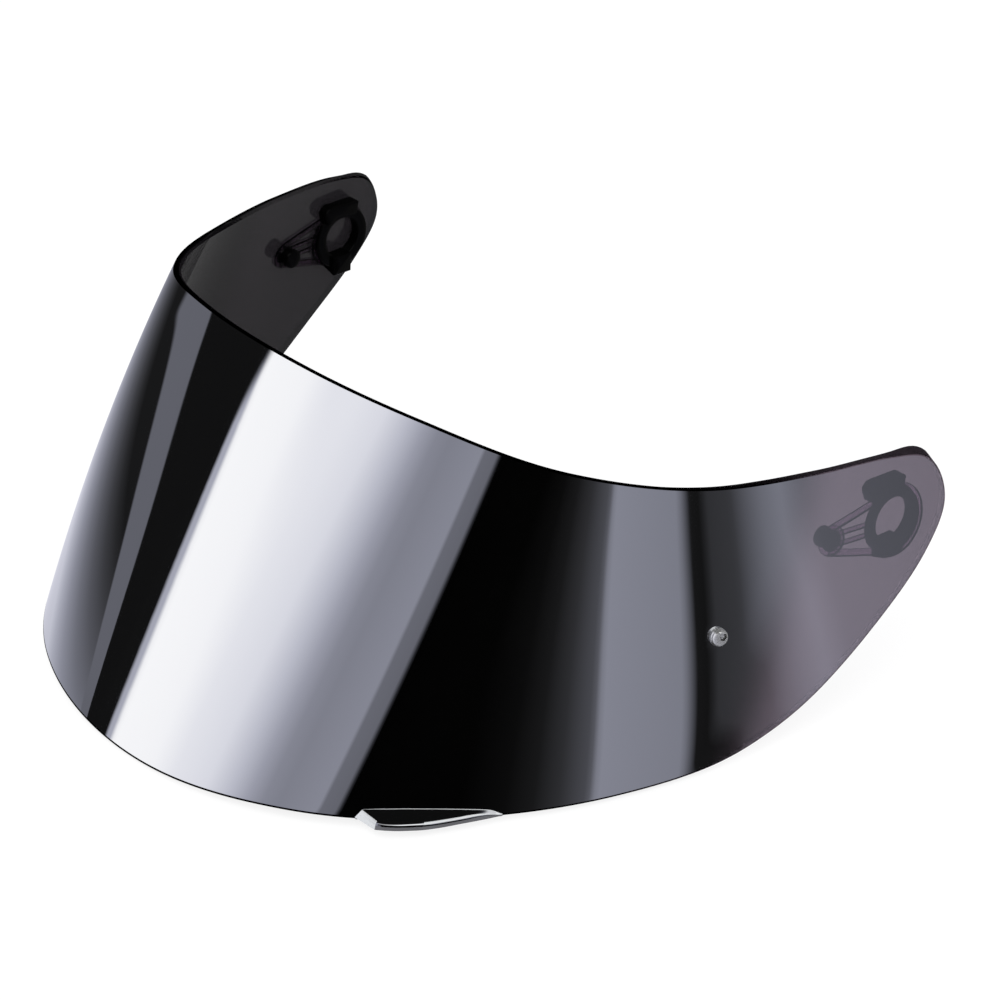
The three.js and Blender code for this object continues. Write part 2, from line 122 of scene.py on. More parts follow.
# Outline of one half as a smooth curve through its points
def curve_speed(before, here, after, first_span, second_span):
    """Speed of a smooth curve at the middle one of three points."""
    whole = (after - before) / (first_span + second_span)
    return (here - before) / first_span - whole + (after - here) / second_span


def smooth_line(points, steps):
    """A centripetal curve through a closed ring of points, with some steps from each to the next."""
    count = len(points)
    line = []
    for i in range(count):
        p = [points[(i + k) % count] for k in (-1, 0, 1, 2)]
        spans = [max(np.linalg.norm(p[k + 1] - p[k]) ** 0.5, 1e-6) for k in range(3)]
        start = curve_speed(*p[:3], *spans[:2]) * spans[1]
        end = curve_speed(*p[1:], *spans[1:]) * spans[1]
        t = (np.arange(steps) / steps)[:, None]
        bend = -3 * p[1] + 3 * p[2] - 2 * start - end
        twist = 2 * p[1] - 2 * p[2] + start + end
        line.append(p[1] + start * t + bend * t**2 + twist * t**3)
    return np.concatenate(line)


CURVE_STEPS = 300
half_points = [np.array([reach * ARM_REACH, rise * BROW_HEIGHT]) for reach, rise in TOP_SHARES + TIP_SHARES]
half_points += [np.array([reach * ARM_REACH, -fall * CHIN_DEPTH]) for reach, fall in LOW_SHARES]
other_points = [p * (-1, 1) for p in half_points[-2:0:-1]]
outline = smooth_line(half_points + other_points, CURVE_STEPS)
outline = outline[: (len(half_points) - 1) * CURVE_STEPS + 1]
outline_lengths = lengths_along(outline)
outline_slopes = unit(np.gradient(outline, outline_lengths, axis=0))
TIP_TOP = outline_lengths[(len(TOP_SHARES) - 1) * CURVE_STEPS]
TIP_LOW = outline_lengths[(len(TOP_SHARES) + len(TIP_SHARES) - 1) * CURVE_STEPS]
CHIN = outline_lengths[-1]


def edge_point(length, grow):
    """A point of the outline at a length from the brow, moved out of the sheet by grow."""
    length = np.asarray(length, float)
    x, y = (np.interp(length, outline_lengths, outline[:, k]) for k in (0, 1))
    slope_x, slope_y = (np.interp(length, outline_lengths, outline_slopes[:, k]) for k in (0, 1))
    return np.stack([x - slope_y * grow, y + slope_x * grow], -1)


def lerp(a, b, t):
    return a + (b - a) * t


def patch_point(reach, up, grow):
    """A point inside one half of the outline, blended from its four edges."""
    t, u = reach[..., None], up[..., None]
    low_edge = edge_point(lerp(CHIN, TIP_LOW, reach), grow)
    top_edge = edge_point(lerp(0, TIP_TOP, reach), grow)
    middle = lerp(edge_point(CHIN, grow), edge_point(0, grow), u)
    side = edge_point(lerp(TIP_LOW, TIP_TOP, up), grow)
    tip = lerp(edge_point(TIP_LOW, grow), edge_point(TIP_TOP, grow), u)
    return lerp(low_edge, top_edge, u) + lerp(middle, side, t) - lerp(middle, tip, t)


# Helpers for meshes and objects
class Mesh:
    """Collects vertices, faces, face materials and, where they matter, exact normals."""

    def __init__(self):
        self.points, self.faces, self.slots, self.normals = [], [], [], []

    def add(self, points):
        start = sum(len(p) for p in self.points)
        self.points.append(np.asarray(points, float).reshape(-1, 3))
        return start + np.arange(len(self.points[-1]))

    def face(self, corners, slot=0, normals=None):
        self.faces.append([int(c) for c in corners])
        self.slots.append(slot)
        self.normals.append(normals)

    def strip(self, a, b, slot=0, normals_a=None, normals_b=None):
        """A closed band of quads between two rings of vertices."""
        for i in range(len(a)):
            j = (i + 1) % len(a)
            exact = None if normals_a is None else [normals_a[i], normals_a[j], normals_b[j], normals_b[i]]
            self.face([a[i], a[j], b[j], b[i]], slot, exact)

    def shell(self, loops, slots=None, ends=(0, 0), joined=False):
        """A closed skin through loops of points, with its ends closed by faces or joined to each other."""
        rings = [self.add(loop) for loop in loops]
        slots = slots or [0] * len(rings)
        for a, b, slot in zip(rings, rings[1:], slots):
            self.strip(a, b, slot)
        if joined:
            self.strip(rings[-1], rings[0], slots[-1])
        else:
            self.face(rings[0], ends[0])
            self.face(rings[-1], ends[1])

    def build(self, name, materials, smooth_angle=None, outward=False):
        mesh = bpy.data.meshes.new(name)
        mesh.from_pydata(np.concatenate(self.points).tolist(), [], self.faces)
        for material in materials:
            mesh.materials.append(material)
        mesh.polygons.foreach_set("material_index", self.slots)
        mesh.polygons.foreach_set("use_smooth", [True] * len(self.faces))
        mesh.update()
        if outward:
            skin = bmesh.new()
            skin.from_mesh(mesh)
            bmesh.ops.recalc_face_normals(skin, faces=skin.faces)
            skin.to_mesh(mesh)
            skin.free()
        if smooth_angle is not None:
            mesh.set_sharp_from_angle(angle=math.radians(smooth_angle))
        if any(n is not None for n in self.normals):
            exact = []
            for normals, corners in zip(self.normals, self.faces):
                exact += [(0, 0, 0)] * len(corners) if normals is None else [tuple(n) for n in normals]
            mesh.normals_split_custom_set(exact)
        return link(name, mesh)


def link(name, data):
    item = bpy.data.objects.new(name, data)
    bpy.context.scene.collection.objects.link(item)
    return item


def set_down(piece, body, node):
    """Sets a piece that is drawn as worn down in the frame, where it stands for a CAD node."""
    piece.data.transform(WORN_TO_ROW)
    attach(piece, body)
    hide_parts(node)


# Helpers for shader nodes
class Nodes:
    """Makes shader nodes in one tree."""

    def __init__(self, tree):
        self.tree = tree
        tree.nodes.clear()

    def node(self, kind, **values):
        node = self.tree.nodes.new(kind)
        for key, value in values.items():
            setattr(node, key, value)
        return node

    def join(self, value, socket):
        if isinstance(value, bpy.types.NodeSocket):
            self.tree.links.new(value, socket)
        else:
            socket.default_value = value

    def math(self, operation, *values):
        node = self.node("ShaderNodeMath", operation=operation)
        for value, socket in zip(values, node.inputs):
            self.join(value, socket)
        return node.outputs[0]

    def plus(self, a, b):
        return self.math("ADD", a, b)

    def minus(self, a, b):
        return self.math("SUBTRACT", a, b)

    def times(self, a, b):
        return self.math("MULTIPLY", a, b)

    def line(self, value, slope, level):
        return self.math("MULTIPLY_ADD", value, slope, level)

    def fade(self, value, start, end, low=0.0, high=1.0):
        """Smooth step from low at start to high at end."""
        node = self.node("ShaderNodeMapRange", interpolation_type="SMOOTHSTEP")
        for item, socket in zip((value, start, end, low, high), node.inputs):
            self.join(item, socket)
        return node.outputs[0]

    def ramp(self, value, stops):
        """Colours at places of a value, joined by straight lines."""
        low, high = stops[0][0], stops[-1][0]
        node = self.node("ShaderNodeValToRGB")
        place_on = self.node("ShaderNodeMapRange")
        for item, socket in zip((value, low, high, 0.0, 1.0), place_on.inputs):
            self.join(item, socket)
        self.join(place_on.outputs[0], node.inputs[0])
        elements = node.color_ramp.elements
        while len(elements) < len(stops):
            elements.new(0.5)
        for element, (where, colour) in zip(elements, stops):
            element.position = (where - low) / (high - low)
            element.color = (*colour, 1)
        return node.outputs[0]

    def mix(self, factor, a, b):
        node = self.node("ShaderNodeMix", data_type="RGBA")
        self.join(factor, node.inputs[0])
        for value, socket in ((a, node.inputs[6]), (b, node.inputs[7])):
            self.join((*value, 1) if isinstance(value, tuple) else value, socket)
        return node.outputs[2]

    def mix_shader(self, factor, a, b):
        node = self.node("ShaderNodeMixShader")
        self.join(factor, node.inputs[0])
        self.tree.links.new(a, node.inputs[1])
        self.tree.links.new(b, node.inputs[2])
        return node.outputs[0]

    def noise(self, scale, detail=2.0):
        coordinates = self.node("ShaderNodeTexCoord")
        node = self.node("ShaderNodeTexNoise")
        self.join(coordinates.outputs["Object"], node.inputs["Vector"])
        node.inputs["Scale"].default_value = scale
        node.inputs["Detail"].default_value = detail
        return node.outputs[0]

    def bump(self, height, strength, distance):
        node = self.node("ShaderNodeBump")
        node.inputs["Strength"].default_value = strength
        node.inputs["Distance"].default_value = distance
        self.join(height, node.inputs["Height"])
        return node.outputs[0]

    def stored(self, name):
        """A value stored on the mesh."""
        return self.node("ShaderNodeAttribute", attribute_name=name).outputs["Fac"]


def new_material(name):
    material = bpy.data.materials.new(name)
    material.use_nodes = True
    return material, Nodes(material.node_tree)


def principled(nodes, colour, roughness, metallic=0.0, specular=0.5, normal=None):
    shader = nodes.node("ShaderNodeBsdfPrincipled")
    nodes.join((*colour, 1) if isinstance(colour, tuple) else colour, shader.inputs["Base Color"])
    nodes.join(roughness, shader.inputs["Roughness"])
    nodes.join(metallic, shader.inputs["Metallic"])
    shader.inputs["Specular IOR Level"].default_value = specular
    if normal is not None:
        nodes.join(normal, shader.inputs["Normal"])
    return shader.outputs[0]


def finish_material(nodes, surface):
    output = nodes.node("ShaderNodeOutputMaterial")
    nodes.tree.links.new(surface, output.inputs[0])


# Materials
COAT_COLOUR = (0.66, 0.67, 0.69)
SMOKE_TINT = (1, 0.89, 1, 1)
FRONT_SMOKE = (0.012, 0.011, 0.013)
ARM_SMOKE = (0.0185, 0.018, 0.0195)
ARM_COAT_OPACITY = 0.72
FRONT_BODY_OPACITY = 0.97
LEFT_BODY_OPACITY = 0.66
RIGHT_BODY_OPACITY = 0.985
FRONT_TO_ARM = (150.0, 182.0)
NOISE_SPAN = (0.3, 0.7)
TONE_SPREAD = 0.2
GRAIN_SCALE = 4400.0
GRAIN_DEPTH = 0.0001
TURNING_SCALE = 9000.0
TURNING_DEPTH = 0.00005


def arm_share(nodes, side=0):
    """0 on the front of the sheet and 1 on both arms or on one, from a length stored along the sheet."""
    arc = nodes.stored("arc")
    reach = nodes.times(arc, float(side)) if side else nodes.math("ABSOLUTE", arc)
    return nodes.fade(reach, *FRONT_TO_ARM)


def clear_shader(nodes):
    clear = nodes.node("ShaderNodeBsdfTransparent")
    clear.inputs[0].default_value = SMOKE_TINT
    return clear.outputs[0]


def mirror_material():
    """Silver mirror coat outside, thinner on the arms, so that they show what is behind them."""
    material, nodes = new_material("mirror_coat")
    roughness = nodes.fade(nodes.noise(38.0, 3.0), *NOISE_SPAN, 0.012, 0.03)
    coat = principled(nodes, COAT_COLOUR, roughness, metallic=1.0)
    opacity = nodes.fade(arm_share(nodes), 0.0, 1.0, 1.0, ARM_COAT_OPACITY)
    finish_material(nodes, nodes.mix_shader(opacity, clear_shader(nodes), coat))
    return material


def smoke_material():
    """Smoked body seen at the inner face, under a hard clear coat."""
    material, nodes = new_material("smoke_body")
    roughness = nodes.fade(nodes.noise(30.0, 3.0), *NOISE_SPAN, 0.03, 0.06)
    body = principled(nodes, nodes.mix(arm_share(nodes), FRONT_SMOKE, ARM_SMOKE), roughness)
    left = nodes.times(arm_share(nodes, 1), LEFT_BODY_OPACITY - FRONT_BODY_OPACITY)
    right = nodes.times(arm_share(nodes, -1), RIGHT_BODY_OPACITY - FRONT_BODY_OPACITY)
    opacity = nodes.plus(nodes.plus(left, right), FRONT_BODY_OPACITY)
    finish_material(nodes, nodes.mix_shader(opacity, clear_shader(nodes), body))
    return material


def plastic_material(name, colour, low, high, grain=0.02, metallic=0.0, specular=0.5, clear_share=None):
    """Moulded plastic with fine grain and uneven gloss, see-through by a share or by a stored value."""
    material, nodes = new_material(name)
    cloud = nodes.noise(60.0, 4.0)
    roughness = nodes.fade(cloud, *NOISE_SPAN, low, high)
    dark, light = (tuple(share * c for c in colour) for share in (1 - TONE_SPREAD, 1 + TONE_SPREAD))
    normal = nodes.bump(nodes.noise(GRAIN_SCALE), grain, GRAIN_DEPTH)
    surface = principled(nodes, nodes.mix(cloud, dark, light), roughness, metallic, specular, normal)
    if isinstance(clear_share, str):
        clear_share = nodes.stored(clear_share)
    if clear_share is not None:
        surface = nodes.mix_shader(clear_share, surface, clear_shader(nodes))
    finish_material(nodes, surface)
    return material


def steel_material():
    """Turned stainless steel."""
    material, nodes = new_material("turned_steel")
    cloud = nodes.noise(400.0, 3.0)
    tone = nodes.mix(cloud, (0.8, 0.8, 0.8), (0.95, 0.95, 0.94))
    roughness = nodes.fade(cloud, *NOISE_SPAN, 0.2, 0.3)
    normal = nodes.bump(nodes.noise(TURNING_SCALE), 0.08, TURNING_DEPTH)
    finish_material(nodes, principled(nodes, tone, roughness, metallic=0.85, normal=normal))
    return material


mirror = mirror_material()
smoke = smoke_material()
rim = plastic_material("sheet_edge", (0.003, 0.003, 0.0035), 0.12, 0.22, specular=0.06, clear_share="clear")
# Light grey that stands for light on the tab: a painted highlight on its root line, on its lip's glint and
# on its end facet
painted_highlight = plastic_material("tab_bright_facet", (0.7, 0.72, 0.73), 0.25, 0.35, metallic=0.3)
satin_coat = plastic_material("tab_satin", (0.22, 0.22, 0.235), 0.3, 0.4, metallic=0.4)
black_gloss = plastic_material("bracket_gloss", (0.0008, 0.0008, 0.0008), 0.08, 0.16, specular=0.08)
thin_smoke = plastic_material("bracket_thin_smoke", (0.012, 0.012, 0.013), 0.1, 0.2, clear_share=0.8)
satin_nylon = plastic_material("post_nylon", (0.04, 0.04, 0.045), 0.35, 0.5)
soft_rubber = plastic_material("seal_rubber", (0.02, 0.02, 0.02), 0.7, 0.85, grain=0.2)
steel = steel_material()
# Near-black steel on the socket's wall: painted shade inside the recess
socket_painted_shade = plastic_material("socket_wall_painted_shade", (0.006, 0.006, 0.006), 0.3, 0.4, specular=0.1)

# Where the pivots and the pins stand, and the holes for the pins, in millimetres
PIVOT_ARC = ARM_REACH - 16.25
PIN_ARC = PIVOT_ARC - 56.65
PIN_HEIGHT = 7.4
HOLE_RADIUS = 1.9
HOLE_CLEARING = 4.2
HOLE_CLEARING_DEPTH = 1.0


def pin_axes(side):
    """Where a pin meets the outer face, and its directions across, up and out."""
    middle = sheet_point(side * PIN_ARC, PIN_HEIGHT, 0.0)
    return middle, *sheet_axes(side * PIN_ARC, PIN_HEIGHT, 0.0)


# The sheet: two fine faces with a rounded rim, and a hole for each pin. The rim rises to a lip near the
# rear end of each arm, left and right, and its top edge lets a little light through.
COLUMNS = 120
ROWS = 64
RIM_STEPS = 4
RIM_BACK_TURN = math.radians(135)
EDGE_ROUND_OUT = 0.3
EDGE_TOP_END = 1.5
FRONT_DROP = 0.3
ARM_RISE = 0.2
ARM_FROM = 122.0
ARM_FULL = 150.0
LIP_HEIGHTS = (1.3, 0.8)
LIP_ARC = 205.0
LIP_SPREAD = 8.0
TOP_CLEAR = 0.06
CLEAR_LENGTH = 10.0
OUTER_SLOT, INNER_SLOT, RIM_SLOT = range(3)


def hole_zone(points, side, inset):
    """Which points of a face one hole clears away, the angle of each point, and the hole's axes."""
    middle, along, upward, out = pin_axes(side)
    middle = middle - out * inset
    offset = points - middle
    a, b = offset @ along, offset @ upward
    near = (np.hypot(a, b) < HOLE_CLEARING) & (np.abs(offset @ out) < HOLE_CLEARING_DEPTH)
    return near, np.arctan2(b, a), (middle, along, upward, out)


def border_cells(near, angle):
    """The cells round a cleared zone, by angle."""
    border = {}
    for i, j in zip(*np.nonzero(near)):
        for cell in [(i + di, j + dj) for di in (-1, 0, 1) for dj in (-1, 0, 1)]:
            if not near[cell]:
                border[cell] = angle[cell]
    return sorted(border, key=border.get)


def cut_hole(mesh, arcs, grid, normals, zone, layer):
    """Closes a face up to the round edge of a hole, and returns that edge and its angles."""
    near, angle, (middle, along, upward, out) = zone
    cells = border_cells(near, angle)
    angles = np.array([angle[c] for c in cells])
    across = np.cos(angles)[:, None] * along + np.sin(angles)[:, None] * upward
    edge = mesh.add(middle + HOLE_RADIUS * across)
    arcs.append(np.full(len(cells), np.sign(middle[0]) * PIN_ARC))
    border = [grid[c] for c in cells], [normals[c] for c in cells]
    if layer == INNER_SLOT:
        mesh.strip(edge, border[0], layer, [-out] * len(cells), border[1])
    else:
        mesh.strip(border[0], edge, layer, border[1], [out] * len(cells))
    return edge, angles


def bridge_rings(mesh, outer, inner):
    """The wall of a hole, between two rings whose points stand at different angles."""
    ids = [[*ring, ring[0]] for ring, _ in (outer, inner)]
    nexts = [[*angles[1:], angles[0] + 2 * math.pi, math.inf] for _, angles in (outer, inner)]
    i = j = 0
    while i + 1 < len(ids[0]) or j + 1 < len(ids[1]):
        a, b = ids[0][i], ids[1][j]
        if nexts[0][i] <= nexts[1][j]:
            i += 1
            mesh.face([a, ids[0][i], b], RIM_SLOT)
        else:
            j += 1
            mesh.face([a, ids[1][j], b], RIM_SLOT)


def rim_profile():
    """How far out, how deep and turned how far each row of the rim is, from the outer face inwards."""
    turns = np.radians(np.linspace(0, 90, RIM_STEPS + 1))
    rows = [(EDGE_ROUND_OUT * (math.sin(t) - 1), EDGE_ROUND_OUT * (1 - math.cos(t)), t) for t in turns]
    return rows + [(0.0, EDGE_TOP_END, turns[-1]), (0.0, EDGE_TOP_END, RIM_BACK_TURN)]


def rim_loops(mesh, arcs, grids, reach, up):
    """Rounds the sheet's edge from its outer face to its inner face, and says how see-through it is."""
    top = lerp(0, TIP_TOP, reach)
    tip = lerp(TIP_LOW, TIP_TOP, up)[::-1][1:]
    low = lerp(CHIN, TIP_LOW, reach)[::-1][1:]
    half = np.concatenate([top, tip, low])
    lengths = np.concatenate([half, half[-2:0:-1]])
    sides = np.repeat([1.0, -1.0], [len(half), len(half) - 2])
    last = 2 * COLUMNS
    cells = [(COLUMNS + k, ROWS) for k in range(COLUMNS + 1)]
    cells += [(last, ROWS - k) for k in range(1, ROWS + 1)]
    cells += [(last - k, 0) for k in range(1, last + 1)]
    cells += [(0, k) for k in range(1, ROWS + 1)]
    cells += [(k, ROWS) for k in range(1, COLUMNS)]

    def flat_edge(grow):
        return edge_point(lengths, grow) * np.stack([sides, np.ones_like(sides)], -1)

    flat = flat_edge(0.0)
    outward = flat_edge(1.0) - flat
    is_left = flat[:, 0] > 0
    far_along = np.abs(flat[:, 0])
    to_arm = np.clip((far_along - ARM_FROM) / (ARM_FULL - ARM_FROM), 0, 1)
    at_top = np.clip(1 - (lengths - TIP_TOP) / CLEAR_LENGTH, 0, 1)
    lip = np.where(is_left, *LIP_HEIGHTS) * np.exp(-(((far_along - LIP_ARC) / LIP_SPREAD) ** 2))
    slope = at_top * (lerp(-FRONT_DROP, ARM_RISE, to_arm) + lip)
    low_clear = np.where(is_left, 1 - LEFT_BODY_OPACITY, 1 - RIGHT_BODY_OPACITY)
    clear = to_arm * lerp(low_clear, np.where(is_left, TOP_CLEAR, 0), at_top)
    along, upward, out = sheet_axes(flat[:, 0], flat[:, 1], 0.0)
    beside = unit(outward[:, :1] * along + outward[:, 1:] * upward)
    rings = [(np.array([grids[0][c] for c in cells]), out)]
    for grow, depth, turn in rim_profile():
        raised = slope * np.clip((depth - EDGE_ROUND_OUT) / (EDGE_TOP_END - EDGE_ROUND_OUT), 0, 1)
        points = flat + outward * (grow + raised)[:, None]
        ring = mesh.add(sheet_point(points[:, 0], points[:, 1], depth))
        arcs.append(points[:, 0])
        rings.append((ring, math.cos(turn) * out + math.sin(turn) * beside))
    rings.append((np.array([grids[1][c] for c in cells]), -out))
    slots = [OUTER_SLOT] + [RIM_SLOT] * (len(rings) - 3) + [INNER_SLOT]
    for (a, normals_a), (b, normals_b), slot in zip(rings, rings[1:], slots):
        mesh.strip(b, a, slot, normals_b, normals_a)
    return [(ring, clear) for ring, _ in rings]


def sheet_piece():
    mesh = Mesh()
    reach = np.linspace(0, 1, COLUMNS + 1)
    up = np.linspace(0, 1, ROWS + 1)
    half = patch_point(*np.meshgrid(reach, up, indexing="ij"), -RIM_ROUND)
    flats = np.concatenate([half[:0:-1] * (-1, 1), half])
    across, high = flats[..., 0], flats[..., 1]
    arcs, layers, edges = [], [], []
    for inset, sign in ((0.0, 1.0), (THICKNESS, -1.0)):
        points = sheet_point(across, high, inset)
        normals = sign * sheet_axes(across, high, inset)[2]
        layers.append((mesh.add(points).reshape(across.shape), points, normals))
        arcs.append(across.ravel())
    for layer, (grid, points, normals) in enumerate(layers):
        zones = [hole_zone(points, side, THICKNESS * layer) for _, side in SIDES]
        cut = zones[0][0] | zones[1][0]
        for i in range(2 * COLUMNS):
            for j in range(ROWS):
                cells = [(i, j), (i + 1, j), (i + 1, j + 1), (i, j + 1)]
                if any(cut[c] for c in cells):
                    continue
                if layer == INNER_SLOT:
                    cells.reverse()
                mesh.face([grid[c] for c in cells], layer, [normals[c] for c in cells])
        edges.append([cut_hole(mesh, arcs, grid, normals, zone, layer) for zone in zones])
    for outer, inner in zip(*edges):
        bridge_rings(mesh, outer, inner)
    clear_rings = rim_loops(mesh, arcs, [grid for grid, _, _ in layers], reach, up)
    piece = mesh.build("visor_sheet", [mirror, smoke, rim])
    arcs = np.concatenate(arcs)
    clear = np.zeros(len(arcs))
    for ring, share in clear_rings:
        clear[ring] = share
    for name, values in (("arc", arcs), ("clear", clear)):
        stored = piece.data.attributes.new(name, "FLOAT", "POINT")
        stored.data.foreach_set("value", values.astype(np.float32))
    set_down(piece, "visor", "visor_shield")


sheet_piece()

# Brackets inside the arms, in millimetres from the pivot: u towards the back, v up
PIVOT_HEIGHT = 38.1
PIVOT_DEPTH = float(sheet_point(PIVOT_ARC, PIVOT_HEIGHT, 0.0)[1])
RING_RISE = 2.918
RING_RADIUS = 9.9
RING_FOOT_RADIUS = 9.2
BORE_RADIUS = 6.3
LIP_THICKNESS = 1.1
RELIEF_SHIFT = (-2.5, 0.9)
RELIEF_STEP = 0.05
FLANGE_RADIUS = 10.6
FOOT_RISE = 0.5
FOOT_SIDE = 0.8 * FOOT_RISE
EDGE_ROUND = 0.35
CHAMFER = 0.2
LUG_CORNERS = [
    (1.19, 8.42), (1.19, 12.87), (-10.59, 10.49), (-11.88, 8.22), (-9.01, 4.36), (-6.44, 7.62),
]
LUG_ROUND = 0.9
LUG_RISE = 2.7
CATCH_LENGTH = 7.0
CATCH_NEAR = 5.5
CATCH_FAR = 11.6
CATCH_FOOT = 10.2
CATCH_ROUND = 0.4
CATCH_RISE = 1.3
CATCH_SHIFT = -0.7
CATCH_TURN = math.radians(14)
PEG = (-22.4, -5.1)
PAD_RADIUS = 4.4
BOSS_RADIUS = 3.1
BOSS_RISE = 1.27
NECK_RADIUS = 2.5
NECK_LENGTH = 1.7
HEAD_RADIUS = 3.0
HEAD_LENGTH = 1.8
HEAD_ROUND = 0.6
EDGE_RIB_WIDTH = 2.1
MID_RIB_WIDTH = 1.4
MID_RIB_SPACING = 3.0
RIB_RISE = 0.6
RIB_STEPS = 16
# Section of a rib, as shares of half its width and of its rise, and the material of each side of it
RIB_SECTION = [(-1, 0.0), (-1, 0.7), (-0.85, 1.0), (0.85, 1.0), (1, 0.7), (1, 0.0)]
RIB_SLOTS = [0, 0, 1, 0, 0, 1]
CORNER_STEPS = 5
TURNS = np.linspace(0, 2 * math.pi, 72, endpoint=False)
ROUND_TURNS = np.radians([0, 30, 60, 90])


def inner_face(u, v):
    """How far from the middle of the visor its inner face is, beside the pivot."""
    half_width, depth = plan_size(PIVOT_HEIGHT + v, THICKNESS)
    along = np.abs((DEPTH - PIVOT_DEPTH - u) / depth) ** ROUNDNESS
    return half_width * (1 - along) ** (1 / ROUNDNESS)


RING_FACE = float(inner_face(0.0, 0.0)) - RING_RISE
BOSS_FACE = float(inner_face(*PEG)) - BOSS_RISE


def circle(radius, middle=(0.0, 0.0)):
    return middle[0] + radius * np.cos(TURNS), middle[1] + radius * np.sin(TURNS)


def quarter_turn(direction):
    return np.array([-direction[1], direction[0]])


def toward(place, goal, distance):
    """The place at a distance from one place on the way to another."""
    return place + (goal - place) * distance / np.linalg.norm(goal - place)


def round_corner(start, corner, end, steps):
    """Points of a bend that leaves a corner outside."""
    return [(1 - t) ** 2 * start + 2 * t * (1 - t) * corner + t**2 * end for t in np.linspace(0, 1, steps)]


def rounded(corners, radius):
    """A polygon whose corners are rounded off."""
    corners = np.array(corners, float)
    points = []
    for before, corner, after in zip(np.roll(corners, 1, 0), corners, np.roll(corners, -1, 0)):
        start, end = toward(corner, before, radius), toward(corner, after, radius)
        points += round_corner(start, corner, end, CORNER_STEPS)
    return np.array(points)


def drawn_in(points, distance):
    """A ring of flat points moved inwards."""
    along = unit(np.roll(points, -1, 0) - np.roll(points, 1, 0))
    return points + distance * np.stack([-along[:, 1], along[:, 0]], -1)


def on_arm(u, v, x):
    """Worn points of the left arm from places beside the pivot."""
    u, v, x = np.broadcast_arrays(*[np.asarray(k, float) for k in (u, v, x)])
    return np.stack([x, PIVOT_DEPTH + u, PIVOT_HEIGHT + v], -1)


def on_seat(u, v, rise=0.0):
    return on_arm(u, v, inner_face(u, v) - SEAT_GAP - rise)


def block(mesh, top, face, foot):
    """A block on the sheet, from the outline of its foot to that of its flat face with a rounded edge."""
    loops = [on_seat(*foot.T)]
    for turn in ROUND_TURNS:
        u, v = drawn_in(top, EDGE_ROUND * (1 - math.cos(turn))).T
        loops.append(on_arm(u, v, face + EDGE_ROUND * (1 - math.sin(turn))))
    mesh.shell(loops)


def lug_block(mesh):
    lug = rounded(LUG_CORNERS, LUG_ROUND)
    block(mesh, lug, RING_FACE - LUG_RISE, lug)


def catch_outline(far):
    along = np.array([math.cos(CATCH_TURN), math.sin(CATCH_TURN)])
    start, end = CATCH_SHIFT - CATCH_LENGTH / 2, CATCH_SHIFT + CATCH_LENGTH / 2
    corners = [(start, far), (end, far), (end, CATCH_NEAR), (start, CATCH_NEAR)]
    return rounded([a * along - b * quarter_turn(along) for a, b in corners], CATCH_ROUND)


def catch_block(mesh):
    """The catch below the ring, square to a line through the pivot. Its outer wall leans out."""
    block(mesh, catch_outline(CATCH_FAR), RING_FACE - CATCH_RISE, catch_outline(CATCH_FOOT))


def rounded_edge(radius, growth):
    """Radius and drop of each row round an edge, from its side to its face."""
    return [(radius + growth * (1 - math.cos(t)), EDGE_ROUND * (1 - math.sin(t))) for t in ROUND_TURNS]


def ring_shell(mesh):
    """The ring: a lip round its bore, which is widened towards the front behind the lip."""
    edges = rounded_edge(RING_RADIUS, -EDGE_ROUND) + rounded_edge(BORE_RADIUS, EDGE_ROUND)[::-1]
    loops = [on_seat(*circle(RING_FOOT_RADIUS))]
    loops += [on_arm(*circle(radius), RING_FACE + drop) for radius, drop in edges]
    loops.append(on_arm(*circle(BORE_RADIUS), RING_FACE + LIP_THICKNESS))
    shift = math.hypot(*RELIEF_SHIFT)
    facing = TURNS - math.atan2(RELIEF_SHIFT[1], RELIEF_SHIFT[0])
    reach = shift * np.cos(facing) + np.sqrt(BORE_RADIUS**2 - (shift * np.sin(facing)) ** 2)
    relief = circle(np.maximum(reach, BORE_RADIUS + RELIEF_STEP))
    loops.append(on_arm(*relief, RING_FACE + LIP_THICKNESS))
    loops.append(on_seat(*relief))
    mesh.shell(loops, joined=True)


def foot_shells(mesh):
    """The flange round the ring and the pad round the peg: dark sides and thin, see-through faces."""
    inside = RING_FOOT_RADIUS - CHAMFER
    flange = [(FLANGE_RADIUS, 0.0), (FLANGE_RADIUS, FOOT_SIDE), (FLANGE_RADIUS - CHAMFER, FOOT_RISE)]
    flange += [(inside, FOOT_RISE), (inside, 0.0)]
    mesh.shell([on_seat(*circle(radius), rise) for radius, rise in flange], [0, 0, 1, 0, 1], joined=True)
    pad = [(PAD_RADIUS, 0.0), (PAD_RADIUS, FOOT_SIDE), (PAD_RADIUS - CHAMFER, FOOT_RISE)]
    mesh.shell([on_seat(*circle(radius, PEG), rise) for radius, rise in pad], [0, 0], ends=(1, 1))


def rib(mesh, start, end, width):
    """A rib that follows the sheet: dark sides and a thin, see-through crown."""
    across = quarter_turn((end - start) / np.linalg.norm(end - start)) * width / 2
    rings = []
    for t in np.linspace(0, 1, RIB_STEPS + 1):
        middle = lerp(start, end, t)
        places = np.array([middle + across * side for side, _ in RIB_SECTION])
        rises = np.array([RIB_RISE * rise for _, rise in RIB_SECTION])
        rings.append(mesh.add(on_seat(places[:, 0], places[:, 1], rises)))
    for a, b in zip(rings, rings[1:]):
        for k, slot in enumerate(RIB_SLOTS):
            after = (k + 1) % len(RIB_SLOTS)
            mesh.face([a[k], a[after], b[after], b[k]], slot)
    mesh.face(rings[0])
    mesh.face(rings[-1])


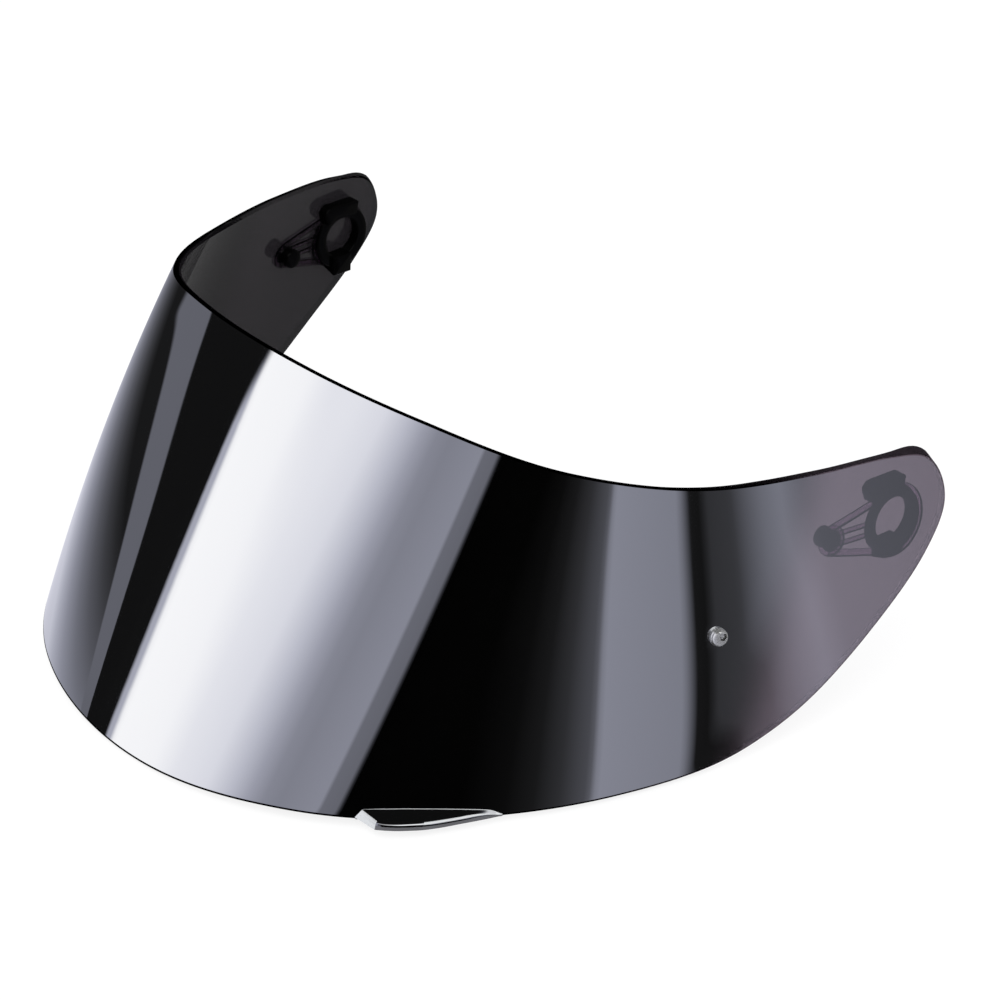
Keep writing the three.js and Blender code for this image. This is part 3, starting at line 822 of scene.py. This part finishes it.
def bracket_ribs(mesh):
    """Two ribs along the lines that touch the ring and the pad, and two between them."""
    peg = np.array(PEG)
    to_ring = -peg / np.linalg.norm(peg)
    spread = math.asin((RING_RADIUS - PAD_RADIUS) / np.linalg.norm(peg))
    for upper in (1, -1):
        turn = upper * spread
        direction = to_ring * math.cos(turn) + quarter_turn(to_ring) * math.sin(turn)
        normal = quarter_turn(direction) * upper
        on_pad = peg + normal * (PAD_RADIUS - EDGE_RIB_WIDTH / 2)
        rib(mesh, on_pad, normal * (RING_RADIUS - EDGE_RIB_WIDTH / 2), EDGE_RIB_WIDTH)
        beside = quarter_turn(to_ring) * upper * MID_RIB_SPACING / 2
        mid_end = -to_ring * (RING_RADIUS + BORE_RADIUS) / 2 + beside
        rib(mesh, peg + beside, mid_end, MID_RIB_WIDTH)


def peg_shell(mesh):
    """The locating peg: a low boss, a neck and a rounded head."""
    neck_face = BOSS_FACE - NECK_LENGTH
    head_face = neck_face - HEAD_LENGTH
    rows = [
        (BOSS_RADIUS, BOSS_FACE + CHAMFER), (BOSS_RADIUS - CHAMFER, BOSS_FACE),
        (NECK_RADIUS + CHAMFER, BOSS_FACE), (NECK_RADIUS, BOSS_FACE - CHAMFER),
        (NECK_RADIUS, neck_face), (HEAD_RADIUS - CHAMFER, neck_face),
        (HEAD_RADIUS, neck_face - CHAMFER),
    ]
    for turn in ROUND_TURNS:
        radius = HEAD_RADIUS - HEAD_ROUND * (1 - math.cos(turn))
        rows.append((radius, head_face + HEAD_ROUND * (1 - math.sin(turn))))
    loops = [on_seat(*circle(BOSS_RADIUS, PEG))]
    loops += [on_arm(*circle(radius, PEG), x) for radius, x in rows]
    mesh.shell(loops)


def bracket_piece(word, side):
    mesh = Mesh()
    for shape in (ring_shell, foot_shells, lug_block, catch_block, bracket_ribs, peg_shell):
        shape(mesh)
    for points in mesh.points:
        points[:, 0] *= side
    piece = mesh.build(f"{word}_bracket", [black_gloss, thin_smoke], smooth_angle=35, outward=True)
    set_down(piece, "visor", f"{word}_pivot_bracket")


for word, side in SIDES:
    bracket_piece(word, side)

# Insert pins, in millimetres out from the sheet's outer face
FLANGE_SEAT = 0.06
PIN_FLANGE_RADIUS = 2.46
DOME_RADIUS = 2.38
DOME_TOP = 2.1
SOCKET_RADIUS = 1.1
SOCKET_SHIFT = (0.5, 0.42)
SOCKET_DEPTH = 0.7
SHOULDER_RADIUS = 1.6
SEAL_FACE = -(THICKNESS + SEAT_GAP)
SEAL_THICKNESS = 0.8
SEAL_RADIUS = 3.6
SEAL_BORE = 1.9
SEAL_BULGE = 0.6
SEAL_CHAMFER = 0.15
POST_FACE = SEAL_FACE - SEAL_THICKNESS - SEAT_GAP
POST_OFFSET = 0.4
THREAD_RADIUS = 1.0
THREAD_ROOT = 0.8
THREAD_PITCH = 0.4
THREAD_LENGTH = 2.2
# Radius and height of each row of the post from its face: its bore and base, then its grooved head
POST_BASE_ROWS = [
    (0.3, -2.5), (1.3, -2.4), (1.3, -0.2), (1.45, 0.0), (3.0, 0.0), (3.2, -0.2), (3.2, -0.6), (3.0, -0.8),
]
POST_HEAD_ROWS = [
    (2.3, -0.8), (2.1, -1.0), (2.1, -1.85), (2.3, -2.0), (2.7, -2.0), (2.9, -2.2), (2.9, -2.6), (2.6, -2.9),
]


def pin_loop(side, radius, height, shift=(0.0, 0.0)):
    middle, along, up, out = pin_axes(side)
    a = side * shift[0] + radius * np.cos(TURNS)
    b = shift[1] + radius * np.sin(TURNS)
    return middle + a[:, None] * along + b[:, None] * up + height * out


def screw_shell(side):
    """Screw from its thread's end to the hexagonal socket, which is off the middle of its domed head."""
    mesh = Mesh()
    thread_end = POST_FACE - THREAD_LENGTH
    rows = [(THREAD_RADIUS - 0.25, thread_end)]
    for k in range(int(THREAD_LENGTH / THREAD_PITCH)):
        rows.append((THREAD_RADIUS, thread_end + (k + 0.5) * THREAD_PITCH))
        rows.append((THREAD_ROOT, thread_end + (k + 1) * THREAD_PITCH))
    rows += [
        (THREAD_ROOT, POST_FACE + SEAT_GAP), (SHOULDER_RADIUS, POST_FACE + SEAT_GAP),
        (SHOULDER_RADIUS, FLANGE_SEAT), (PIN_FLANGE_RADIUS - 0.12, FLANGE_SEAT),
        (PIN_FLANGE_RADIUS, FLANGE_SEAT + 0.15), (PIN_FLANGE_RADIUS, FLANGE_SEAT + 0.4),
        (PIN_FLANGE_RADIUS - 0.1, FLANGE_SEAT + 0.58), (DOME_RADIUS + 0.05, FLANGE_SEAT + 0.62),
        (DOME_RADIUS, FLANGE_SEAT + 0.7), (DOME_RADIUS - 0.02, 1.2), (DOME_RADIUS - 0.1, 1.5),
        (DOME_RADIUS - 0.25, 1.76), (DOME_RADIUS - 0.42, 1.93),
    ]
    loops = [pin_loop(side, radius, height) for radius, height in rows]
    flat = SOCKET_RADIUS * math.cos(math.radians(30))
    facet = np.abs((TURNS % math.radians(60)) - math.radians(30))
    hexagon = flat / np.cos(facet)
    for growth, depth in ((0.14, 0.02), (0.04, 0.04), (0.0, 0.14), (0.0, SOCKET_DEPTH)):
        loops.append(pin_loop(side, hexagon + growth, DOME_TOP - depth, SOCKET_SHIFT))
    loops.append(pin_loop(side, 0.15, DOME_TOP - SOCKET_DEPTH + 0.25, SOCKET_SHIFT))
    # The socket's wall takes the painted shade, and its bottom stays bright steel
    mesh.shell(loops, [0] * (len(loops) - 3) + [1, 0])
    return mesh


def seal_shell(side):
    mesh = Mesh()
    half = SEAL_THICKNESS / 2
    middle = SEAL_FACE - half
    rows = []
    for turn in np.radians([-90, -60, -30, 0, 30, 60, 90]):
        radius = SEAL_RADIUS - half * (1 - math.cos(turn)) * SEAL_BULGE
        rows.append((radius, middle + half * math.sin(turn)))
    rows += [(SEAL_BORE + SEAL_CHAMFER, middle + half), (SEAL_BORE, middle + half - SEAL_CHAMFER)]
    rows += [(SEAL_BORE, middle - half + SEAL_CHAMFER), (SEAL_BORE + SEAL_CHAMFER, middle - half)]
    mesh.shell([pin_loop(side, radius, height) for radius, height in rows], joined=True)
    return mesh


def post_shell(side):
    """Post: a base with a bore for the thread and a grooved head set off from it."""
    mesh = Mesh()
    loops = [pin_loop(side, radius, POST_FACE + height) for radius, height in POST_BASE_ROWS]
    for radius, height in POST_HEAD_ROWS:
        loops.append(pin_loop(side, radius, POST_FACE + height, (POST_OFFSET, 0.0)))
    mesh.shell(loops)
    return mesh


def pin_pieces(word, side):
    pin = f"{word}_pin"
    for part, mesh, materials, body, slot in (
        ("screw", screw_shell(side), [steel, socket_painted_shade], pin, "pin_metal"),
        ("seal", seal_shell(side), [soft_rubber], "visor", "seal"),
        ("post", post_shell(side), [satin_nylon], pin, "pin_post"),
    ):
        piece = mesh.build(f"{word}_{part}", materials, smooth_angle=32, outward=True)
        set_down(piece, body, f"{pin}_{part}")


for word, side in SIDES:
    pin_pieces(word, side)

# Lift tab along the lower edge. Each row: length along the sheet, reach of the lip out of the sheet,
# height of the lip's upper and lower edges, and height of the root, in millimetres from the sheet's edge
TAB_ROWS = [
    (72.7, 3.35, 0.3, -1.7, 3.2), (74, 3.7, -0.05, -1.75, 3.25), (78, 3.9, -0.1, -1.8, 3.4),
    (84, 3.4, 0, -1.75, 3.3), (88, 2.5, 0.25, -1.5, 3.1), (92, 1.9, 0.7, -0.95, 2.8),
    (96, 1.2, 1.15, -0.6, 2.4), (99, 0.6, 0.9, -0.35, 1.9), (101.6, 0.1, 0.1, -0.12, 0.35),
]
TAB_STEPS = 48
TAB_SMOOTHING = np.linspace(-1.2, 1.2, 7)
TAB_CLEAR = 0.06
TAB_UNDER = 1.7
TAB_UNDER_LOW = 0.45
TAB_GAP = 0.15
TAB_LIP_SLANT = 0.3
TAB_ROUND = 0.7
TAB_ROUND_SHARE = 0.4
TAB_BEND_STEPS = 6
# Width of the root line that carries a painted highlight
PAINTED_ROOT_LINE = 0.2
# Length along the sheet from which the lip's rounded corner carries a painted highlight (glint)
PAINTED_GLINT_START = 83.5
# End of the tab nearest the chin, cut off by a facet with a painted highlight: length along and height of
# each point
FACET_ROOT = [(67.6, 2.75), (67.58, 2.7)]
FACET_EDGE = ((67.55, 2.65), (66.7, 1.1))
FACET_FOOT = [(66.3, 0.4), (66.3, -0.25), (66.3, -0.15), (66.5, -0.15)]
FACET_PROUD = 0.1
# Tab slots: mirror coat, painted highlight (root line, lip glint, end facet), and satin
COATED, PAINTED_HIGHLIGHT, SATIN = range(3)
LOW_EDGE = outline[outline_lengths >= TIP_LOW][::-1]


def below_sheet(arcs, rises, insets):
    """Points by length along the sheet, height from its lower edge and depth below its outer face."""
    edge = np.interp(arcs, LOW_EDGE[:, 0], LOW_EDGE[:, 1])
    return sheet_point(arcs, edge + rises, insets)


def tab_section(arc, reach, lip, bottom, root):
    """Points round one section, from the root round the lip and back under the sheet's edge."""
    at_root, at_lip, at_foot = np.array([(TAB_CLEAR, root), (reach, lip), (reach - TAB_LIP_SLANT, bottom)])
    cut = min(TAB_ROUND, TAB_ROUND_SHARE * abs(lip - bottom), TAB_ROUND_SHARE * reach)
    start, end = toward(at_lip, at_root, cut), toward(at_lip, at_foot, cut)
    front = [at_root, toward(at_root, at_lip, PAINTED_ROOT_LINE)]
    front += [*round_corner(start, at_lip, end, TAB_BEND_STEPS), at_foot]
    back = [(-TAB_UNDER, -TAB_UNDER_LOW), (-TAB_UNDER, -TAB_GAP), (TAB_CLEAR, -TAB_GAP)]
    flat = np.array([*front, *back])
    return below_sheet(arc, flat[:, 1], -flat[:, 0])


def facet_section():
    arcs, rises = np.concatenate([FACET_ROOT, np.linspace(*FACET_EDGE, TAB_BEND_STEPS), FACET_FOOT]).T
    insets = np.array([-TAB_CLEAR] + [-FACET_PROUD] * 8 + [TAB_UNDER] * 2 + [-TAB_CLEAR])
    return below_sheet(arcs, rises, insets)


def tab_slot(k, arc, at_end):
    """Material after point k of a section: a painted highlight on the root line, the lip's glint and the
    end facet, a coat, or satin.
    """
    at_painted_glint = 2 <= k < 5 and arc > PAINTED_GLINT_START
    at_facet = at_end and 1 < k < 9
    if k == 0 or at_painted_glint or at_facet:
        return PAINTED_HIGHLIGHT
    return COATED if k < 7 else SATIN


def tab_piece():
    mesh = Mesh()
    rows = np.array(TAB_ROWS)
    arcs = np.linspace(rows[0, 0], rows[-1, 0], TAB_STEPS)
    values = [
        np.mean([np.interp(arcs + shift, rows[:, 0], column) for shift in TAB_SMOOTHING], axis=0)
        for column in rows[:, 1:].T
    ]
    loops = [mesh.add(facet_section())]
    loops += [mesh.add(tab_section(*row)) for row in zip(arcs, *values)]
    for step, (a, b) in enumerate(zip(loops, loops[1:])):
        for k in range(len(a)):
            after = (k + 1) % len(a)
            slot = tab_slot(k, arcs[max(step - 1, 0)], step == 0)
            mesh.face([a[k], a[after], b[after], b[k]], slot)
    mesh.face(loops[0], SATIN)
    mesh.face(loops[-1], SATIN)
    piece = mesh.build("tab", [mirror, painted_highlight, satin_coat], smooth_angle=28, outward=True)
    set_down(piece, "visor", "lift_tab")


tab_piece()

# Stage: a pale floor, just below the object
FLOOR_HALF = 8.0
FLOOR_DROP = 0.0002
FLOOR_GLOW = 1.1
FLOOR_GLOW_SHARE = 0.75


def floor_piece():
    mesh = Mesh()
    corners = [(-1, -1), (1, -1), (1, 1), (-1, 1)]
    mesh.face(mesh.add([(x * FLOOR_HALF, y * FLOOR_HALF, -FLOOR_DROP) for x, y in corners]))
    material, nodes = new_material("pale_floor")
    body = principled(nodes, (0.9, 0.9, 0.9), 0.9, specular=0.0)
    glow = nodes.node("ShaderNodeEmission")
    glow.inputs["Strength"].default_value = FLOOR_GLOW
    seen = nodes.node("ShaderNodeLightPath").outputs["Is Camera Ray"]
    share = nodes.times(seen, FLOOR_GLOW_SHARE)
    finish_material(nodes, nodes.mix_shader(share, body, glow.outputs[0]))
    floor = mesh.build("floor", [material])
    floor.visible_glossy = False


floor_piece()

# Studio round the visor: what the mirror shows, by compass direction. 0 is ahead of the visor, 90 to
# the wearer's left. Each row is a direction in degrees and how bright the wall, panel or flag is.
PANEL_ROW = [
    (-60, 18), (-46.4, 18), (-46.1, 166), (-44.8, 172), (-44.3, 247), (-38, 243), (-32, 229), (-21, 219),
    (-12, 190), (-5, 160), (1, 138), (7, 131), (19, 138), (21, 139), (22.2, 107), (27, 103), (28.6, 2),
    (50, 3), (57, 11), (61, 24), (64.5, 46), (68.3, 76), (69.4, 136), (80.2, 127), (82, 22), (83.6, 19),
    (84.8, 48), (88, 54), (92.2, 106), (94.8, 121), (98, 101), (114, 87),
]
WALL_LEVELS = (24, 40, 60, 85, 110, 140, 170, 190)
STRIP_LEVEL = 99
FLAG_LEVEL = 17
REAR_FLOOR = (0.2, 0.2, 0.2)
REAR_ROOM = (0.18, 0.18, 0.18)
LAMP_COLOUR = (1.4, 1.4, 1.4)
CEILING_COLOUR = (0.006, 0.006, 0.006)
FILL_COLOUR = (0.72, 0.72, 0.73)
BACKDROP_COLOUR = (1.0, 1.0, 1.0)


def linear(level):
    """Screen level out of 255 as light."""
    share = level / 255
    return share / 12.92 if share < 0.04045 else ((share + 0.055) / 1.055) ** 2.4


def panel_colour(level):
    """A panel as bright as the coat needs to show that level, cooler in the middle greys."""
    light = linear(level)
    cool = 0.5 * (level / 255) * (1 - level / 255)
    return tuple(light * k / c for k, c in zip((1 - 0.8 * cool, 1 - 0.6 * cool, 1 + cool), COAT_COLOUR))


def panel_row(nodes, turn, rise):
    """The row of panels. Those on the wearer's left tip outwards, and those on the right bow."""
    lean = nodes.times(nodes.line(turn, 0.002, 0.36), nodes.fade(turn, 35.0, 60.0))
    lean = nodes.times(lean, nodes.minus(rise, 11.5))
    low_down = nodes.times(nodes.math("MINIMUM", nodes.plus(rise, 12.0), 0.0), 0.2)
    lean = nodes.plus(lean, nodes.times(low_down, nodes.fade(turn, 106.0, 114.0)))
    above = nodes.math("MAXIMUM", nodes.minus(rise, 6.0), 0.0)
    bow = nodes.times(nodes.times(above, above), 0.022)
    bow = nodes.times(bow, nodes.fade(turn, -30.0, -42.0))
    place_on = nodes.plus(turn, nodes.plus(lean, bow))
    return nodes.ramp(place_on, [(where, panel_colour(level)) for where, level in PANEL_ROW])


def far_right(nodes, turn, rise):
    """Far right of the wearer: a dark flag, a grey strip below it, and a wall that grows paler."""
    fall = nodes.math("EXPONENT", nodes.line(turn, 1 / 3, 18.0))
    flag_edge = nodes.line(fall, -6.0, 9.0)
    away = nodes.plus(turn, 66.0)
    bow_share = nodes.fade(away, -0.5, 0.5, -0.0143, -0.032)
    strip_edge = nodes.line(nodes.times(away, away), bow_share, 3.1)
    wall_level = nodes.line(turn, 5.56, nodes.line(rise, -15.0, 429.0))
    wall = nodes.ramp(wall_level, [(level, panel_colour(level)) for level in WALL_LEVELS])
    in_strip = nodes.fade(nodes.minus(rise, strip_edge), -0.25, 0.35)
    in_strip = nodes.times(in_strip, nodes.fade(turn, -90.0, -86.0))
    in_flag = nodes.fade(nodes.minus(rise, flag_edge), -0.2, 0.4)
    side = nodes.mix(in_strip, wall, panel_colour(STRIP_LEVEL))
    return nodes.mix(in_flag, side, panel_colour(FLAG_LEVEL))


def studio_world():
    world = bpy.data.worlds.new("studio")
    bpy.context.scene.world = world
    world.use_nodes = True
    nodes = Nodes(world.node_tree)
    direction = nodes.node("ShaderNodeTexCoord").outputs["Generated"]
    parts = nodes.node("ShaderNodeSeparateXYZ")
    nodes.join(direction, parts.inputs[0])
    x, y, z = parts.outputs
    turn = nodes.math("DEGREES", nodes.math("ARCTAN2", x, nodes.times(y, -1.0)))
    rise = nodes.math("DEGREES", nodes.math("ARCSINE", z))
    at_row = nodes.fade(turn, -50.0, -48.5)
    studio = nodes.mix(at_row, far_right(nodes, turn, rise), panel_row(nodes, turn, rise))

    # Behind the visor, a dim floor and room; over the panels, a lamp below a dark ceiling
    behind = nodes.fade(nodes.math("ABSOLUTE", turn), 134.5, 140.0)
    studio = nodes.mix(behind, studio, nodes.mix(nodes.fade(rise, -12.0, 4.0), REAR_FLOOR, REAR_ROOM))
    beside_lamp = nodes.times(nodes.fade(turn, 0.0, 60.0), nodes.fade(turn, 106.0, 96.0))
    past_lamp = nodes.math("MAXIMUM", nodes.plus(turn, -20.0), 0.0)
    over_edge = nodes.minus(rise, nodes.line(past_lamp, -0.4, 35.5))
    in_lamp = nodes.times(beside_lamp, nodes.fade(over_edge, 0.0, 16.0))
    studio = nodes.mix(in_lamp, studio, LAMP_COLOUR)
    studio = nodes.mix(nodes.fade(rise, 44.0, 64.0), studio, CEILING_COLOUR)

    # Only glossy rays see the studio: the camera sees white, and the rest is an even fill
    path = nodes.node("ShaderNodeLightPath")
    plain = nodes.mix(path.outputs["Is Camera Ray"], FILL_COLOUR, BACKDROP_COLOUR)
    background = nodes.node("ShaderNodeBackground")
    nodes.join(nodes.mix(path.outputs["Is Glossy Ray"], plain, studio), background.inputs[0])
    output = nodes.node("ShaderNodeOutputWorld")
    nodes.join(background.outputs[0], output.inputs[0])


def key_light():
    lamp = bpy.data.lights.new("key", "AREA")
    lamp.shape = "RECTANGLE"
    lamp.size = 1.4
    lamp.size_y = 1.0
    lamp.energy = 14.0
    key = link("key", lamp)
    key.location = (0.5, -0.9, 1.5)
    key.rotation_mode = "QUATERNION"
    key.rotation_quaternion = (Vector((0, 0, 0.04)) - key.location).to_track_quat("-Z", "Y")
    key.visible_glossy = False
    key.visible_camera = False


studio_world()
key_light()

# Camera, as fitted to the photograph
CAMERA_PLACE = (0.72972, -0.63430, 0.62344)
CAMERA_RIGHT = (0.68042, 0.73281, -0.00349)
CAMERA_UP = (-0.37634, 0.35352, 0.85638)
CAMERA_LENS = 145.54


def photo_camera():
    data = bpy.data.cameras.new("camera")
    data.sensor_width = 36.0
    data.lens = CAMERA_LENS
    data.clip_start = 0.01
    data.clip_end = 60.0
    camera = link("camera", data)
    right = Vector(CAMERA_RIGHT).normalized()
    back = right.cross(Vector(CAMERA_UP)).normalized()
    turn = Matrix((right, back.cross(right), back)).transposed()
    camera.matrix_world = Matrix.Translation(CAMERA_PLACE) @ turn.to_4x4()
    bpy.context.scene.camera = camera


photo_camera()
bpy.context.scene.view_settings.view_transform = "Standard"
